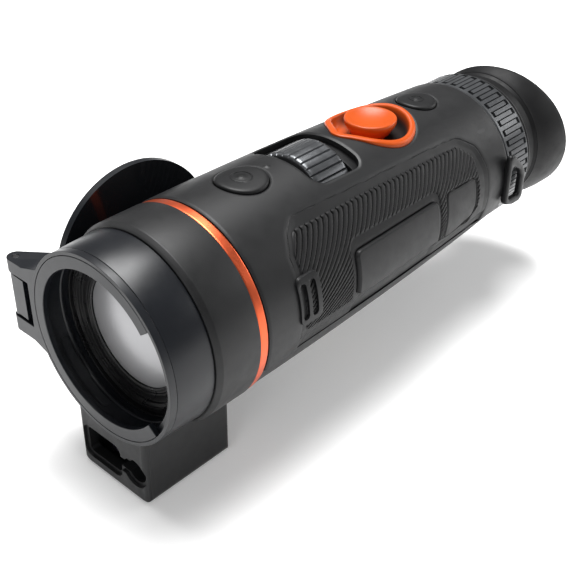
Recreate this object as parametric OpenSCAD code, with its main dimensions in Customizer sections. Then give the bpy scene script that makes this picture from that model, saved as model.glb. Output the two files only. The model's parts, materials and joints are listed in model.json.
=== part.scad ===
// Handheld thermal imaging camera with a laser rangefinder under the objective.
// Origin: centre of the objective's mouth on the optical axis. +Y runs to the eye, +Z is up.

/* [Main body] */
// Radius of the barrel just behind the accent band
barrel_r = 30.3; // [29:0.1:31]
// Y of the front end of the main shells
shell_y0 = 33.8; // [33.6:0.1:34.2]
// Y of the rear end of the main shells
shell_y1 = 154.8; // [154:0.1:155]
// Wall thickness of the shells
wall = 2.0; // [1.6:0.1:2.2]
// Height of the seam between the top and the bottom shell
seam_z = -11.0; // [-12:0.5:-10]

/* [Objective] */
// Outer radius of the cap ring at the mouth
mouth_r = 28.4; // [28:0.1:28.6]
// Inner radius of the C-shaped flange in the mouth
flange_r = 23.45; // [23:0.05:24]
// Half of the gap in the flange, in degrees from +X
flange_gap = 38; // [30:1:45]
// Visible radius of the front lens
glass_r = 17.2; // [16:0.1:18]

/* [Lens cap] */
// X of the cap hinge
hinge_x = -38.1; // [-38.4:0.1:-37.8]
// Y of the cap hinge
hinge_y = 2.9; // [2.7:0.1:3.1]
// Radius of the cap disc
cap_r = 27.9; // [27:0.1:28.2]
// Direction of the open cap seen from above, in degrees from +X
cap_open = 88.3; // [88:0.1:88.6]

/* [Rangefinder] */
// Half of the width of the rangefinder block
lrf_half = 14.8; // [14.5:0.1:15]
// Height of the underside of the rangefinder block
lrf_z0 = -48.0; // [-49:0.5:-47]

/* [Controls] */
// Y of the front round button
front_button_y = 54.0; // [53:0.5:55]
// Radius of the front round button
front_button_r = 7.75; // [7:0.05:7.8]
// Y of the centre of the menu button
menu_y = 111.0; // [110:0.5:112]
// Radius of the menu button's dish
menu_r = 8.3; // [8:0.1:8.6]
// Y of the power button
power_y = 134.8; // [134:0.2:135]
// Radius of the power button
power_r = 6.6; // [6:0.1:6.8]
// Radius of the focus wheel
wheel_r = 14.8; // [14.4:0.1:15]
// Ribs around the focus wheel
wheel_ribs = 36; // [24:1:40]

/* [Eyepiece] */
// Radius of the dioptre ring
dioptre_r = 25.8; // [25:0.1:25.9]
// Ribs around the dioptre ring
dioptre_ribs = 44; // [36:2:48]
// Radius of the eyecup's rim
eyecup_r = 26.1; // [25.5:0.1:26.5]
// Distance that the rim plane leans back per millimetre towards +X
rim_lean_x = 0.2; // [0.1:0.01:0.25]
// Distance that the rim plane leans back per millimetre downwards
rim_lean_z = 0.22; // [0.15:0.01:0.3]

/* [Hidden] */
$fn = 64;
far = 80;

// Gaps: between neighbours that are fixed together, between moving parts, and running fits
gap = 0.1;
play = 0.35;
running = 0.05;

// The barrel narrows towards the eye on a long even curve
taper = 0.000251;
taper_y = 31;
taper_steps = 10;
bottom_step = 0.6;

sleeve_y1 = 14.9;
collar_y1 = 30.6;
band_y1 = 33.5;
band_r = 30.0;
sleeve_r = 28.8;
collar_r = 30.2;
spigot_r = 26.6;
barrel_bore = 21.2;
pocket_r = 25.2;
retainer_y0 = 9.6;
lens_y = 12.2;

hinge_end_r = 2.6;
knuckle_r = 2.2;
pin_r = 1.0;
prong_z0 = -12.5;
prong_z1 = 11.6;
fork_z0 = -7.5;
fork_z1 = 7.4;
fork_x = -30;
cap_face = 5.4;
cap_thick = 2.25;
cap_reach = -hinge_x;

cell_r = 14.0;
cell_bore = 11.2;
screw_z = 15.8;
screw_r = 1.5;

wheel_y0 = 73.0;
wheel_y1 = 87.4;
window_half = 14.0;
window_y0 = 70.8;
window_y1 = 91.2;
window_corner = 4.0;

button_travel = 0.8;
bezel_r = 14.3;
bezel_nose_r = 4.5;
bezel_nose = 12.5;
bezel_proud = 0.9;
well_r = 12.2;
well_z = 23.2;

grip_proud = 0.35;
grip_depth = 1.0;
plate_y0 = 71.5;
plate_y1 = 112.0;
plate_z0 = -4.0;
plate_z1 = 10.2;
plate_proud = 0.65;
lug_y0 = 45.8;
lug_y1 = 54.6;
lug_z0 = -1.5;
lug_z1 = 12.6;
lug_proud = 0.6;
slot_w = 2.4;
slot_len = 10.8;
loop_x = 26.2;
loop_thick = 2.4;
loop_root_y = 151.5;

eye_tube_r = 19.2;
eye_bore = 17.0;
eye_cell_r = 16.95;
neck_y0 = 169.0;
cup_y0 = 172.4;
rim_y = 188.8;
cup_wall = 1.8;

tripod_y = 95;
tripod_r = 3.175;
tripod_insert_r = 5.0;
usb_y = 141;
usb_knuckle_r = 0.8;
button_proud = 0.6;

function body_r(y) = barrel_r - taper * pow(y - taper_y, 2);
function steps(y0, y1) = [for (i = [0:taper_steps]) y0 + (y1 - y0) * i / taper_steps];

// ---- Building blocks ----

// Turns +Z into +Y
module along_y() rotate([-90, 0, 0]) children();

module rod(r, y0, y1, x = 0, z = 0) translate([x, y0, z]) along_y() cylinder(r = r, h = y1 - y0);

module tube(r_out, r_in, y0, y1) difference() {
    rod(r_out, y0, y1);
    rod(r_in, y0 - 1, y1 + 1);
}

module post(r, x, y, z0, z1) translate([x, y, z0]) cylinder(r = r, h = z1 - z0);

module block(low, high) translate(low) cube(high - low);

module turned(points) along_y() rotate_extrude() polygon(points);

// Solid barrel between two stations, larger than the shells by grow
module barrel(y0, y1, grow = 0) turned(concat(
    [[0, y0]], [for (y = steps(y0, y1)) [body_r(y) + grow, y]], [[0, y1]]));

// A skin of the barrel between two offsets from its surface
module skin(y0, y1, inner, outer) turned(concat(
    [for (y = steps(y0, y1)) [body_r(y) + outer, y]],
    [for (i = [taper_steps:-1:0]) [body_r(steps(y0, y1)[i]) + inner, steps(y0, y1)[i]]]));

// Rounded rectangle from two corners
module round_rect(low, high, r) {
    translate([low[0] + r, low[1]]) square([high[0] - low[0] - 2 * r, high[1] - low[1]]);
    translate([low[0], low[1] + r]) square([high[0] - low[0], high[1] - low[1] - 2 * r]);
    for (x = [low[0] + r, high[0] - r], y = [low[1] + r, high[1] - r]) translate([x, y]) circle(r);
}

// Sweeps a Y-Z outline along X between two planes
module side_cut(x0, x1) multmatrix([[0, 0, 1, x0], [1, 0, 0, 0], [0, 1, 0, 0], [0, 0, 0, 1]])
    linear_extrude(x1 - x0) children();

// Sweeps an X-Z outline along Y between two planes
module front_cut(y0, y1) translate([0, y1, 0]) rotate([90, 0, 0]) linear_extrude(y1 - y0) children();

// Outline points of a lens face that bulges towards smaller Y by its sagitta
function face_points(r, y, bulge) = [for (i = [0:8]) let (q = r * i / 8) [q, y - bulge * (1 - q * q / (r * r))]];
function flipped(points) = [for (i = [len(points) - 1:-1:0]) points[i]];

// A lens with two curved faces, given by the Y of their rims and how far each stands out
module lens(r, y0, y1, bulge0, bulge1) turned(concat(
    face_points(r, y0, bulge0), flipped(face_points(r, y1, -bulge1))));

// Straight-flanked ribs round a wheel
module ribbed(r, ribs, depth) polygon([for (i = [0:ribs - 1], c = [[0, 0], [0.18, 1], [0.72, 1], [0.9, 0]])
    let (a = 360 * (i + c[0]) / ribs, q = r - depth * (1 - c[1])) [q * cos(a), q * sin(a)]]);

// ---- Objective ----

module objective_barrel() color("#3c4250") turned([
    [mouth_r, 2.3], [sleeve_r, sleeve_y1 - gap], [spigot_r, sleeve_y1 - gap],
    [spigot_r, collar_y1 - gap], [barrel_bore, collar_y1 - gap], [barrel_bore, lens_y],
    [pocket_r, lens_y], [pocket_r, 2.3]]);

module hinge_plan() {
    translate([hinge_x, hinge_y]) circle(hinge_end_r);
    polygon([[hinge_x, hinge_y - hinge_end_r], [-22, hinge_y - hinge_end_r], [-22, 12.6],
        [-28, 12.6], [-32.7, 10.6], [hinge_x - 1.75, hinge_y + 1.92]]);
}

module ear_front() polygon([[-32, prong_z1], [-24.1, 14.3], [-20, 19.4], [-18, 12], [-18, -12],
    [-20.7, -18.8], [-25.4, -14.2], [-30.7, prong_z0], [-32, prong_z0]]);

module cap_ring() color("#4a505c") difference() {
    union() {
        tube(mouth_r, pocket_r, 0, 2.2);
        translate([0, 0, prong_z0]) linear_extrude(prong_z1 - prong_z0) hinge_plan();
        front_cut(0.3, 6) ear_front();
    }
    rod(sleeve_r + gap, 2.2, 20);
    rod(pocket_r, -1, 20);
    tube(27.3, pocket_r - 1, -1, 1.9);
    block([-50, -1, fork_z0], [fork_x, 20, fork_z1]);
    post(pin_r, hinge_x, hinge_y, -12.3, 20);
}

module cap_flange() color("#4a505c") difference() {
    tube(27.2, flange_r, 0, 1.8);
    front_cut(-1, 3) polygon([[0, 0], [far, far * tan(flange_gap)], [far, -far * tan(flange_gap)]]);
    rod(1, -1, 0);
}

module hinge_pin() color("silver") post(pin_r - running, hinge_x, hinge_y, -12.2, 11.5);

// The cap's own frame: X from the hinge to the disc, Y from its outer to its inner face
module cap_place() translate([hinge_x, hinge_y, 0]) rotate([0, 0, cap_open]) children();

module lens_cap() color("#33363d") cap_place() difference() {
    union() {
        rod(cap_r, -cap_face, -cap_face + cap_thick, cap_reach);
        block([0, -cap_face, -6.6], [cap_reach - cap_r + 3, -cap_face + cap_thick, 6.6]);
        block([-knuckle_r, -cap_face, -6.6], [knuckle_r, 0, 6.6]);
        post(knuckle_r, 0, 0, -7.1, 7.0);
    }
    post(pin_r + running, 0, 0, -8, 8);
}

module cap_liner() color("#202226") cap_place() difference() {
    rod(22.8, -cap_face + cap_thick + 0.02, -cap_face + 3.6, cap_reach);
    rod(21.0, -cap_face + 2.9, -cap_face + 4, cap_reach);
}

module lens_retainer() color("#25272b") turned([[pocket_r - gap, retainer_y0], [pocket_r - gap, lens_y - gap],
    [glass_r + 0.2, lens_y - gap], [glass_r + 0.2, lens_y - 0.8], [glass_r + 4, retainer_y0]]);

module front_lens() color("#8c8f92") lens(glass_r, lens_y, 17.6, 2.7, -2.0);

module front_o_ring() color("#151515") tube(barrel_bore - gap, glass_r + 0.2, 12.4, 14.2);

module lens_guide() color("#25272b") {
    tube(barrel_bore - gap, cell_r + running, 22, 24);
    tube(cell_r + 2, cell_r + running, 24, 37.5);
}

module lens_cell() color("#3a3d42") difference() {
    union() {
        rod(cell_r, 25, 43);
        block([-3, 39.5, 10], [3, 43, screw_z + 3.2]);
    }
    rod(cell_bore, 24, 44);
    rod(screw_r + running, 38, 44, 0, screw_z);
}

module rear_lens() color("#9ea2a6") lens(cell_bore - gap, 30.6, 32.4, 1.6, 1.6);

module front_collar() color("#45484d") turned([
    [29.2, sleeve_y1], [29.6, 15.1], [collar_r, 16.5], [collar_r, collar_y1 - gap],
    [spigot_r + gap, collar_y1 - gap], [spigot_r + gap, sleeve_y1]]);

module accent_band() color("#e0714a") turned([
    [band_r - 0.5, collar_y1], [band_r, collar_y1 + 0.5], [band_r, band_y1],
    [23, band_y1], [23, collar_y1]]);

// ---- Shells ----

// A point just inside a circle of radius r, where the teardrop's straight flank leaves it
function s_point(s, r, a, y) = [s * (r - 0.03) * cos(a), y - (r - 0.03) * sin(a)];

module teardrop(grow = 0) {
    a = asin((bezel_r - bezel_nose_r) / bezel_nose);
    big = bezel_r + grow;
    nose = bezel_nose_r + grow;
    translate([0, menu_y]) {
        circle(big);
        translate([0, -bezel_nose]) circle(nose);
        polygon([s_point(1, nose, a, -bezel_nose), s_point(1, big, a, 0),
            s_point(-1, big, a, 0), s_point(-1, nose, a, -bezel_nose)]);
    }
}

module window(grow = 0) round_rect([-window_half - grow, window_y0 - grow],
    [window_half + grow, window_y1 + grow], window_corner + grow);

// Outline of a side grip seen along X
module grip_outline(grow = 0) {
    difference() {
        union() {
            polygon([[45 - grow, seam_z + gap - grow], [136 + grow, seam_z + gap - grow],
                [138.8 + grow, 0], [138.6 + grow, 8], [131 + grow, 19.1 + grow], [53 - grow, 22.6 + grow],
                [49 - grow, 18]]);
            translate([130.8, 11.3]) circle(7.9 + grow);
        }
        translate([40, seam_z - 20 + gap - grow]) square([120, 20]);
    }
}

module lug_outline(grow = 0) round_rect([lug_y0 - grow, lug_z0 - grow], [lug_y1 + grow, lug_z1 + grow], 2);

module plate_outline(grow = 0) round_rect([plate_y0 - grow, plate_z0 - grow],
    [plate_y1 + grow, plate_z1 + grow], 1.2);

module side_pockets() for (s = [1, -1]) scale_x(s) {
    intersection() {
        difference() {
            barrel(shell_y0, shell_y1, 5);
            barrel(shell_y0 - 1, shell_y1 + 1, -grip_depth);
        }
        side_cut(10, far) grip_outline(gap);
    }
    side_cut(20, far) lug_outline(gap);
}

// Mirrors a right-hand piece to the left when s is -1
module scale_x(s) {
    if (s > 0) children();
    else mirror([1, 0, 0]) children();
}

module top_shell() color("#4b4d50") difference() {
    intersection() {
        skin(shell_y0, shell_y1, -wall, 0);
        block([-far, 0, seam_z + gap], [far, 200, far]);
    }
    side_pockets();
    post(front_button_r + 0.3, 0, front_button_y, 10, far);
    post(power_r + 0.3, 0, power_y, 10, far);
    translate([0, 0, 10]) linear_extrude(far) teardrop(gap);
    translate([0, 0, 10]) linear_extrude(far) window();
}

module bottom_shell() color("#434548") difference() {
    union() {
        intersection() {
            skin(shell_y0, shell_y1, -wall - bottom_step, -bottom_step);
            block([-far, 0, -far], [far, 200, seam_z]);
        }
        post(tripod_insert_r + 2, 0, tripod_y, -27.6, -24.9);
    }
    post(tripod_insert_r + gap, 0, tripod_y, -far, -24.9);
    post(tripod_insert_r + 1.7, 0, tripod_y, -24.9, 0);
    block([-5, usb_y - 2.2, -far], [5, usb_y + 2.2, 0]);
    intersection() {
        block([-6.6, usb_y - 5.6, -far], [6.6, usb_y + 4.2, 0]);
        difference() {
            barrel(shell_y0, shell_y1, 5);
            barrel(shell_y0 - 1, shell_y1 + 1, -bottom_step - 1.2);
        }
    }
    screw_places() post(1.35, 0, 0, -far, 9);
    screw_places() post(2.3, 0, 0, -far, 0.2);
}

// Height of the underside at a point of the bottom shell
function under_z(x, y) = -sqrt(pow(body_r(y) - bottom_step, 2) - x * x);

module screw_places() for (x = [-9, 9], y = [44, 131]) translate([x, y, under_z(9, y) + 1.2]) children();

module shell_screws() color("#26282b") screw_places() {
    post(2.2, 0, 0, -0.6, 0.1);
    post(1.25, 0, 0, 0.1, 5);
}

module grip(s) scale_x(s) difference() {
    intersection() {
        skin(shell_y0, shell_y1, -grip_depth + gap, grip_proud);
        side_cut(10, far) grip_outline();
    }
    side_cut(20, far) lug_outline(gap);
    intersection() {
        barrel(shell_y0, shell_y1, 5);
        side_cut(20, far) plate_outline(gap);
    }
}
module grip_right() color("#4e5053") grip(1);
module grip_left() color("#4e5053") grip(-1);

module side_plate(s) scale_x(s) intersection() {
    skin(shell_y0, shell_y1, -grip_depth + gap, plate_proud);
    side_cut(20, far) plate_outline();
}
module side_plate_right() color("#5a5c5f") side_plate(1);
module side_plate_left() color("#5a5c5f") side_plate(-1);

// Two slots leave a bar that a strap goes round
module strap_lug(s) scale_x(s) difference() {
    intersection() {
        barrel(shell_y0, shell_y1, lug_proud);
        side_cut(25.2, far) lug_outline();
    }
    for (y = [47.9, 51.7]) side_cut(20, far)
        round_rect([y - slot_w / 2, 5.5 - slot_len / 2], [y + slot_w / 2, 5.5 + slot_len / 2], 1.1);
}
module strap_lug_right() color("#5d5f62") strap_lug(1);
module strap_lug_left() color("#5d5f62") strap_lug(-1);

// A flat bar bent out over the dioptre ring, with a hole for a cord
module strap_loop(s) scale_x(s) difference() {
    side_cut(loop_x, loop_x + loop_thick) difference() {
        polygon([[loop_root_y, -7.6], [loop_root_y, 10.6], [154.2, 10.2], [160.2, 4.4], [162.4, 1],
            [162.4, -8.2], [161, -9.6], [156.5, -9.3]]);
        polygon([[shell_y1 + 0.1, 6.8], [158.4, 3.4], [159.9, 0.8], [159.9, -6.6], [shell_y1 + 0.1, -6.6]]);
    }
    barrel(shell_y0, shell_y1 + 0.05, 0.1);
}
module strap_loop_right() color("#55585c") strap_loop(1);
module strap_loop_left() color("#55585c") strap_loop(-1);

// ---- Controls ----

module flush_button(r, y, proud, flange_r, flange_z) {
    intersection() {
        post(r, 0, y, flange_z, far);
        barrel(shell_y0, shell_y1, proud);
    }
    post(flange_r, 0, y, flange_z, flange_z + 0.8);
}
module front_button() color("#515356") flush_button(front_button_r, front_button_y, button_proud, 9.0, 24.4);
module power_button() color("#515356") flush_button(power_r, power_y, button_proud, 7.6, 22.2);

module menu_bezel() color("#f0692a") difference() {
    intersection() {
        translate([0, 0, well_z - 1.4]) linear_extrude(far) teardrop();
        barrel(shell_y0, shell_y1, bezel_proud);
        union() {
            skin(shell_y0, shell_y1, -wall, bezel_proud + 1);
            post(well_r + 1.2, 0, menu_y, well_z - 1.4, far);
        }
    }
    post(well_r, 0, menu_y, well_z, far);
    post(3.4, 0, menu_y, 0, far);
}

module menu_button() color("#f26a22") difference() {
    union() {
        post(menu_r, 0, menu_y, 27.9, 29.7);
        translate([0, menu_y, 24.6]) cylinder(r1 = 6.2, r2 = menu_r, h = 3.3);
        post(3.0, 0, menu_y, 20.2, 24.6);
    }
    translate([0, menu_y, 28.4 + 24]) sphere(r = 24);
}

module switch_pair(y, z0, z1) {
    block([-3, y - 3, z0], [3, y + 3, z1 - 0.6]);
    post(1.4, 0, y, z1 - 0.6, z1);
}
module button_switches() color("#c9c9c4") {
    switch_pair(front_button_y, 21.3, 24.4 - button_travel - gap);
    switch_pair(menu_y, 16.9, 20.2 - button_travel - gap);
    switch_pair(power_y, 19.5, 22.2 - button_travel - gap);
}
module front_button_board() color("#1f5b3a") block([-9, 45, 20.1], [9, 66, 21.2]);
module menu_board() color("#1f5b3a") block([-9, 100, 15.7], [9, 122, 16.8]);
module power_board() color("#1f5b3a") block([-8, 127, 18.3], [8, 142, 19.4]);

// Sunk tray round the focus wheel
module wheel_surround() color("#303235") difference() {
    intersection() {
        skin(68, 94, -4.2, -wall - gap);
        translate([0, 0, 10]) linear_extrude(far)
            round_rect([-window_half - 1.6, window_y0 - 1.6], [window_half + 1.6, window_y1 + 1.6], 3);
    }
    rod(wheel_r + play, wheel_y0 - play, wheel_y1 + play, 0, screw_z);
}

module focus_wheel() color("#a9acaf") difference() {
    translate([0, wheel_y0, screw_z]) along_y() linear_extrude(wheel_y1 - wheel_y0)
        ribbed(wheel_r, wheel_ribs, 0.8);
    rod(screw_r, wheel_y0 - 1, wheel_y1 + 1, 0, screw_z);
}
module focus_shaft() color("silver") rod(screw_r, 38, 91.6, 0, screw_z);

module wheel_bracket() color("#303235") difference() {
    union() {
        block([-9, 70.2, -2.6], [9, 72.0, 20]);
        block([-9, 88.6, -2.6], [9, 90.6, 20]);
        block([-9, 70.2, -2.6], [9, 90.6, -1.0]);
    }
    rod(screw_r + running, 69, 92, 0, screw_z);
}

// ---- Inside ----

module detector_module() color("#6d7074") difference() {
    union() {
        block([-13, 58, -12.5], [13, 66, 12.5]);
        block([-10, 54.5, -10], [10, 58, 10]);
    }
    rod(7.2, 50, 60);
}
module detector_window() color("#8a7f6a") rod(7.1, 55.4, 56.6);

module main_board() color("#1f5b3a") {
    block([-20, 70, -5.6], [20, 121, -4.2]);
    block([-8, 92, -4.2], [8, 106, -2.2]);
    block([10, 94, -4.2], [18, 102, -2.8]);
    block([-18, 108, -4.2], [-6, 118, -2.9]);
}
module battery() color("#2c5aa8") rod(9.0, 68, 119, 0, -14.75);
module battery_contacts() color("#c7a24a") for (y = [[66.4, 67.9], [119.1, 120.6]])
    block([-6, y[0], -21], [6, y[1], -9]);

module display_module() color("#1c1d20") {
    block([-11, 124, -9], [11, 127.5, 9]);
    block([-9, 127.5, -7], [9, 128.6, 7]);
}

// ---- Eyepiece ----

module eyepiece_barrel() color("#26282b") turned([
    [17.9, 130], [17.9, 145], [24.2, 145], [24.2, 148.4], [eye_tube_r, 148.4], [eye_tube_r, 176],
    [eye_bore, 176], [eye_bore, 134], [14, 134], [14, 130]]);

module eyepiece_cell() color("#303235") turned([
    [eye_cell_r, 146], [eye_cell_r, 170], [15.2, 170], [15.2, 168], [15.2, 148], [14, 148], [14, 146]]);

module eyepiece_lenses() color("#9fb4c4") {
    lens(15.1, 163.6, 164.4, 2.9, 3.5);
    lens(15.1, 150.8, 151.4, 2.5, 2.5);
}

module rear_o_ring() color("#151515") tube(24.1, eye_tube_r + gap, 148.6, 150.2);

module dioptre_ring() color("#55585c") difference() {
    union() {
        rod(dioptre_r - 0.9, shell_y1 + play, neck_y0 - play);
        translate([0, shell_y1 + play + 0.9, 0]) along_y() linear_extrude(11.6)
            ribbed(dioptre_r, dioptre_ribs, 0.9);
    }
    rod(eye_tube_r + running, 150, 180);
}

module eyecup_collar() color("#3b3d40") difference() {
    turned([[24.3, neck_y0], [24.3, cup_y0 - 1], [23.4, cup_y0 - gap], [eye_tube_r + running, cup_y0 - gap],
        [eye_tube_r + running, neck_y0]]);
}

module eyecup() color("#1e1f21") difference() {
    turned([[23.2, cup_y0], [22.8, 176.4], [23.8, 178.8], [24.7, 181.5], [25.5, 185], [eyecup_r, 189.5],
        [eyecup_r + 0.3, 200], [eyecup_r + 0.3 - cup_wall, 200], [eyecup_r - cup_wall, 189.5], [23.7, 185],
        [22.9, 181.5], [21.9, 179.2], [19.6, 177.2], [eye_tube_r + running, 177.2],
        [eye_tube_r + running, cup_y0]]);
    multmatrix([[1, 0, 0, 0], [rim_lean_x, 1, -rim_lean_z, rim_y], [0, 0, 1, 0], [0, 0, 0, 1]])
        block([-far, 0, -far], [far, far, far]);
}

// ---- Rangefinder ----

module lrf_openings(grow, y0, y1) front_cut(y0, y1) {
    round_rect([-12 - grow, -43.6 - grow], [2.2 + grow, -34.3 + grow], 1.6 + grow);
    translate([9.2, -38.6]) circle(3.6 + grow);
    translate([0, -40.6 - grow / 2]) square([8, 4 + grow]);
}

module lrf_housing() color("#4a4c50") difference() {
    intersection() {
        front_cut(1, 32.9) round_rect([-lrf_half, lrf_z0], [lrf_half, 0], 3);
        translate([0, 0, lrf_z0]) linear_extrude(far) round_rect([-lrf_half, 1], [lrf_half, 32.9], 2);
    }
    rod(sleeve_r + gap, -1, sleeve_y1 + 0.1);
    rod(collar_r + gap, sleeve_y1 - 0.2, 40);
    lrf_openings(0, -1, 6);
    lrf_openings(1.2, -1, 2);
    block([-12.6, 5, -far], [12.6, 30.4, -32]);
}

module lrf_optics() color("#6a5a6e") {
    translate([-4.9, 6.4, -39]) along_y() cylinder(r = 4.4, h = 3);
    translate([9.2, 6.4, -38.6]) along_y() cylinder(r = 3.0, h = 3);
    difference() {
        block([-12.4, 9.5, -45], [12.4, 16, -33]);
        rod(3.2, 9, 17, -4.9, -39);
        rod(2.0, 9, 17, 9.2, -38.6);
    }
}
module lrf_board() color("#1f5b3a") block([-12, 18, -44], [12, 19.4, -33]);

module lrf_screw_places() for (x = [-9, 9], y = [8, 27]) translate([x, y, 0]) children();
module lrf_base() color("#434548") difference() {
    block([-12.5, 5.1, lrf_z0], [12.5, 30.3, lrf_z0 + 1.8]);
    lrf_screw_places() post(1.1, 0, 0, -far, 0);
    lrf_screw_places() post(2.0, 0, 0, -far, lrf_z0 + 1);
}
module lrf_screws() color("#26282b") lrf_screw_places() {
    post(1.9, 0, 0, lrf_z0 + 0.2, lrf_z0 + 1);
    post(1.0, 0, 0, lrf_z0 + 1, lrf_z0 + 2.6);
}

// ---- Underside ----

module tripod_insert() color("#b08d3c") difference() {
    union() {
        post(tripod_insert_r, 0, tripod_y, -28.4, -24.8);
        post(tripod_insert_r + 1.6, 0, tripod_y, -24.8, -24.0);
    }
    post(tripod_r, 0, tripod_y, -far, 0);
}

module usb_port() color("#8f9296") difference() {
    block([-4.6, usb_y - 1.7, -24.2], [4.6, usb_y + 1.7, -18]);
    block([-3.8, usb_y - 1.1, -30], [3.8, usb_y + 1.1, -20]);
}

module usb_cover() color("#2a2b2d") {
    translate([-5, usb_y - 4.2, -26.8]) rotate([0, 90, 0]) cylinder(r = usb_knuckle_r, h = 10);
    intersection() {
        barrel(shell_y0, shell_y1, -bottom_step);
        difference() {
            block([-6.4, usb_y - 4, -far], [6.4, usb_y + 4, -20]);
            barrel(shell_y0 - 1, shell_y1 + 1, -bottom_step - 1.1);
        }
    }
}

objective_barrel();
cap_ring();
cap_flange();
hinge_pin();
lens_cap();
cap_liner();
lens_retainer();
front_lens();
lens_guide();
lens_cell();
rear_lens();
front_o_ring();
front_collar();
accent_band();
top_shell();
bottom_shell();
grip_right();
grip_left();
side_plate_right();
side_plate_left();
strap_lug_right();
strap_lug_left();
strap_loop_right();
strap_loop_left();
front_button();
menu_bezel();
menu_button();
power_button();
button_switches();
front_button_board();
menu_board();
power_board();
wheel_surround();
focus_wheel();
focus_shaft();
wheel_bracket();
detector_module();
detector_window();
main_board();
battery();
battery_contacts();
display_module();
eyepiece_barrel();
eyepiece_cell();
eyepiece_lenses();
rear_o_ring();
dioptre_ring();
eyecup_collar();
eyecup();
lrf_housing();
lrf_optics();
lrf_board();
lrf_base();
lrf_screws();
shell_screws();
tripod_insert();
usb_port();
usb_cover();
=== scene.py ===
import json
import math

import bpy
import bmesh
import numpy as np
from mathutils import Matrix, Vector


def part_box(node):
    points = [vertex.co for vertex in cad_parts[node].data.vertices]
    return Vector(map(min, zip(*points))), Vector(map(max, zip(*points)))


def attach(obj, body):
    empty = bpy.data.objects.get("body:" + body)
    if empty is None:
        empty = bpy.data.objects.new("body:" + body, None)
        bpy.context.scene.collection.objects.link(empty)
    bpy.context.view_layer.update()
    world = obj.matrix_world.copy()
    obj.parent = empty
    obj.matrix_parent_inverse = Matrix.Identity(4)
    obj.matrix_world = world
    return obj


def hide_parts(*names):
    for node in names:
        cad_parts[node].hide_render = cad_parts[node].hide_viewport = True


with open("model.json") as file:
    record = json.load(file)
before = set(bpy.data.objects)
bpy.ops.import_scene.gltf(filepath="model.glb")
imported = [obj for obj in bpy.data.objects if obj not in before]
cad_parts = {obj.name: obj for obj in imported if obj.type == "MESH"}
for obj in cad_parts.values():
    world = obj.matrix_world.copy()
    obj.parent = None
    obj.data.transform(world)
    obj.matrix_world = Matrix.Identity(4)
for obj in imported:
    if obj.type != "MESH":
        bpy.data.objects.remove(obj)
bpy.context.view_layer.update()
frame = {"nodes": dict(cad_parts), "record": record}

MM = 0.001

# ---------------------------------------------------------------- camera

CAMERA_PLACE = (0.182085, -0.125788, 0.167257)
CAMERA_AZIMUTH = 42.59
CAMERA_ELEVATION = 34.05
CAMERA_ROLL = 0.45
CAMERA_LENS = 65.62


def make_camera():
    """The camera stands where the object is seen from the front, the right and above."""
    data = bpy.data.cameras.new("view_camera")
    data.lens = CAMERA_LENS
    data.sensor_width = 36.0
    data.sensor_fit = "HORIZONTAL"
    data.clip_start = 0.01
    data.clip_end = 20.0
    cam = bpy.data.objects.new("view_camera", data)
    az, el = math.radians(CAMERA_AZIMUTH), math.radians(CAMERA_ELEVATION)
    forward = Vector((-math.sin(az) * math.cos(el), math.cos(az) * math.cos(el), -math.sin(el)))
    right = forward.cross(Vector((0, 0, 1))).normalized()
    right = Matrix.Rotation(math.radians(-CAMERA_ROLL), 3, forward) @ right
    up = right.cross(forward)
    rot = Matrix((right, up, -forward)).transposed().to_4x4()
    cam.matrix_world = Matrix.Translation(CAMERA_PLACE) @ rot
    bpy.context.collection.objects.link(cam)
    bpy.context.scene.camera = cam


make_camera()

# ---------------------------------------------------------------- materials

COAT_ROUGHNESS = 0.08
GLASS_IOR = 1.5
# Painted shade in grooves and wells: how much duller it makes the surface, and its near-black colour
PAINTED_SHADE_DULLNESS = 0.5
PAINTED_SHADE_COLOUR = (0.001, 0.001, 0.001, 1)


def node(tree, kind, **values):
    """A new shader node. Each value is set on the input of that name, or else on the node itself."""
    made = tree.nodes.new(kind)
    for key, value in values.items():
        if key in made.inputs:
            made.inputs[key].default_value = value
        else:
            setattr(made, key, value)
    return made


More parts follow.
